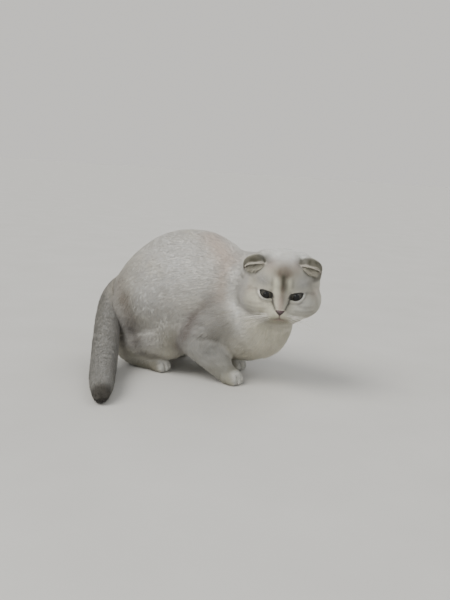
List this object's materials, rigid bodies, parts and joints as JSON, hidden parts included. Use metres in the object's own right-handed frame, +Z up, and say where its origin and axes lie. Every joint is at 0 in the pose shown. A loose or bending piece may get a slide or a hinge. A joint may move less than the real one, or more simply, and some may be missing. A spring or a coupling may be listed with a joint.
{
  "type": "scottish fold cat",
  "caption": "Life-size still model of a short-coated fold-eared cat, crouched low with an arched back, head turned to its right, tail laid out beside it.",
  "frame": {"origin": "centre of the bounding box, at the floor the paws and tail rest on", "axes": "+X runs forward along the body towards the chest, +Y to the cat's left, +Z up"},
  "size_m": [0.3094, 0.2778, 0.1841],
  "materials": {
    "coat": "short soft cream and pale grey fur",
    "grey_coat": "short soft dark grey fur",
    "eye": "wet gloss",
    "nose_leather": "fine grained skin"
  },
  "bodies": {
    "root": {"belly": "coat", "chest": "coat", "ear_left": "grey_coat", "ear_right": "grey_coat", "eye_left": "eye", "eye_right": "eye", "fore_paw_left": "coat", "fore_paw_right": "coat", "foreleg_left": "coat", "foreleg_right": "coat", "head": "coat", "hind_foot_left": "coat", "hind_foot_right": "coat", "neck": "coat", "nose": "nose_leather", "rump": "coat", "shoulder_left": "coat", "shoulder_right": "coat", "tail_1": "grey_coat", "tail_2": "grey_coat", "tail_3": "grey_coat", "tail_4": "grey_coat", "thigh_left": "coat", "thigh_right": "coat"}
  },
  "joints": []
}
